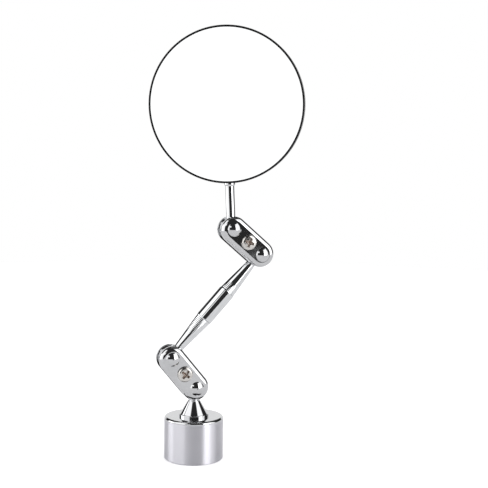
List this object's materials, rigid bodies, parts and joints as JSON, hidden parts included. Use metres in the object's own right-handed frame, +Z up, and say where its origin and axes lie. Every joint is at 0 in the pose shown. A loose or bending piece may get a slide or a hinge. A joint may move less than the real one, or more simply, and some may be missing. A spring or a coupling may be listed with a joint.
{
  "type": "magnetic base inspection mirror",
  "caption": "Round inspection mirror on a jointed, spindle-shaped chromed arm with double ball clamps, standing on a cylindrical magnetic base.",
  "frame": {"origin": "centre of the magnetic base's flat underside", "axes": "+Z up out of the base along the stud's axis, +X to the side the arm leans, -Y towards the mirror's reflecting side"},
  "size_m": [0.0791, 0.0408, 0.2331],
  "materials": {
    "chrome": "polished",
    "rim": "black enamel",
    "bright_steel": "bright zinc",
    "magnet": "dark sintered magnet",
    "spacer": "matte",
    "pad": "matte",
    "glass": "silvered"
  },
  "bodies": {
    "base": {"base_cup": "chrome", "base_magnet": "magnet", "base_pole_disc": "bright_steel", "base_spacer_ring": "spacer"},
    "stud": {"base_stud": "chrome"},
    "lower_clamp": {"lower_front_plate": "chrome", "lower_rear_plate": "chrome", "lower_lock_washer": "bright_steel", "lower_clamp_nut": "bright_steel"},
    "lower_screw": {"lower_clamp_screw": "bright_steel"},
    "arm_lower_ball": {"arm_lower_ball": "chrome"},
    "arm": {"arm_rod": "chrome", "arm_upper_ball": "chrome"},
    "upper_clamp": {"upper_front_plate": "chrome", "upper_rear_plate": "chrome", "upper_lock_washer": "bright_steel", "upper_clamp_nut": "bright_steel"},
    "upper_screw": {"upper_clamp_screw": "bright_steel"},
    "stem_ball": {"stem_ball": "chrome"},
    "mirror": {"mirror_stem": "chrome", "stem_collar": "chrome", "mirror_frame": "rim", "mirror_pad": "pad", "mirror_glass": "glass"}
  },
  "joints": [
    {"name": "base_spin", "type": "hinge", "parent": "base", "child": "stud", "pos_m": [0, 0, 0.0233], "axis": [0, 0, 1], "continuous": true},
    {"name": "lower_clamp_swing", "type": "hinge", "parent": "stud", "child": "lower_clamp", "pos_m": [0, 0, 0.0394], "axis": [0, 1, 0], "range_deg": [-50, 80]},
    {"name": "arm_swing", "type": "hinge", "parent": "lower_clamp", "child": "arm_lower_ball", "pos_m": [-0.01353, 0, 0.05598], "axis": [0, -1, 0], "range_deg": [-18, 105]},
    {"name": "arm_spin", "type": "hinge", "parent": "arm_lower_ball", "child": "arm", "pos_m": [-0.01353, 0, 0.05598], "axis": [0.6704, 0, 0.742], "continuous": true},
    {"name": "upper_clamp_swing", "type": "hinge", "parent": "arm", "child": "upper_clamp", "pos_m": [0.03609, 0, 0.11089], "axis": [0, 1, 0], "range_deg": [-15, 150]},
    {"name": "stem_swing", "type": "hinge", "parent": "upper_clamp", "child": "stem_ball", "pos_m": [0.01991, 0, 0.1249], "axis": [0, -1, 0], "range_deg": [-50, 100]},
    {"name": "mirror_spin", "type": "hinge", "parent": "stem_ball", "child": "mirror", "pos_m": [0.01991, 0, 0.1249], "axis": [-0.0506, 0, 0.9987], "continuous": true},
    {"name": "lower_screw_turn", "type": "hinge", "parent": "lower_clamp", "child": "lower_screw", "pos_m": [-0.00676, 0, 0.04769], "axis": [0, -1, 0], "range_deg": [0, 180]},
    {"name": "upper_screw_turn", "type": "hinge", "parent": "upper_clamp", "child": "upper_screw", "pos_m": [0.028, 0, 0.1179], "axis": [0, -1, 0], "range_deg": [0, 180]}
  ]
}
